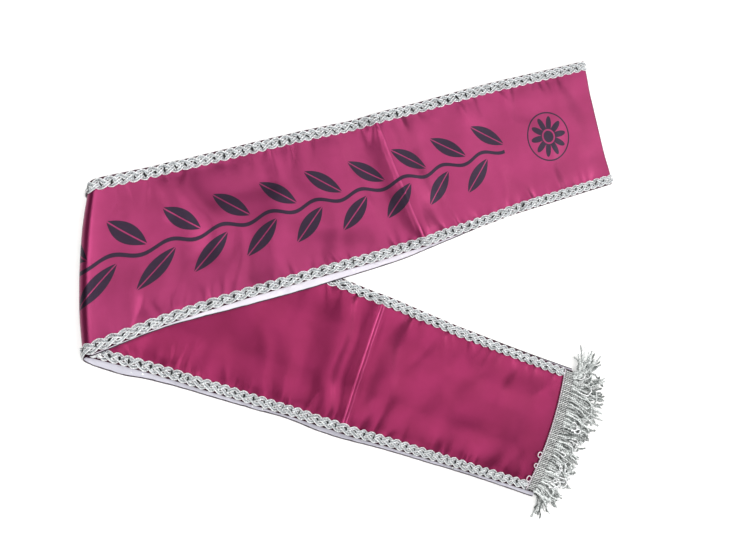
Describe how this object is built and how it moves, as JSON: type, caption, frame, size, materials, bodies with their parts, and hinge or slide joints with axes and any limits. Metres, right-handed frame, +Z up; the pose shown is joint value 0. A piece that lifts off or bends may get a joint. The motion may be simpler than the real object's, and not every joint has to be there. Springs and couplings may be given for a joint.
{
  "type": "pageant sash",
  "caption": "Long magenta satin sash laid folded in a V, with silver scalloped braid along both edges and a silver fringe on its tails.",
  "frame": {"origin": "middle of the bounding box at table height, under the gap of the V", "axes": "+X from the turn towards the shoulder and the tails, +Y across the V towards the upper run, +Z up from the table"},
  "size_m": [0.3876, 0.359, 0.0143],
  "materials": {
    "satin": "satin face, dull white back",
    "braid": "metallic silver gimp braid",
    "fringe": "metallic silver thread"
  },
  "bodies": {
    "root": {"front_panel_upper": "satin", "front_panel_lower": "satin", "back_panel_upper": "satin", "back_panel_lower": "satin", "front_braid_far_upper": "braid", "front_braid_far_lower": "braid", "front_braid_near_upper": "braid", "front_braid_near_lower": "braid", "back_braid_far_upper": "braid", "back_braid_far_lower": "braid", "back_braid_near_upper": "braid", "back_braid_near_lower": "braid", "front_fringe": "fringe", "back_fringe": "fringe"}
  },
  "joints": []
}
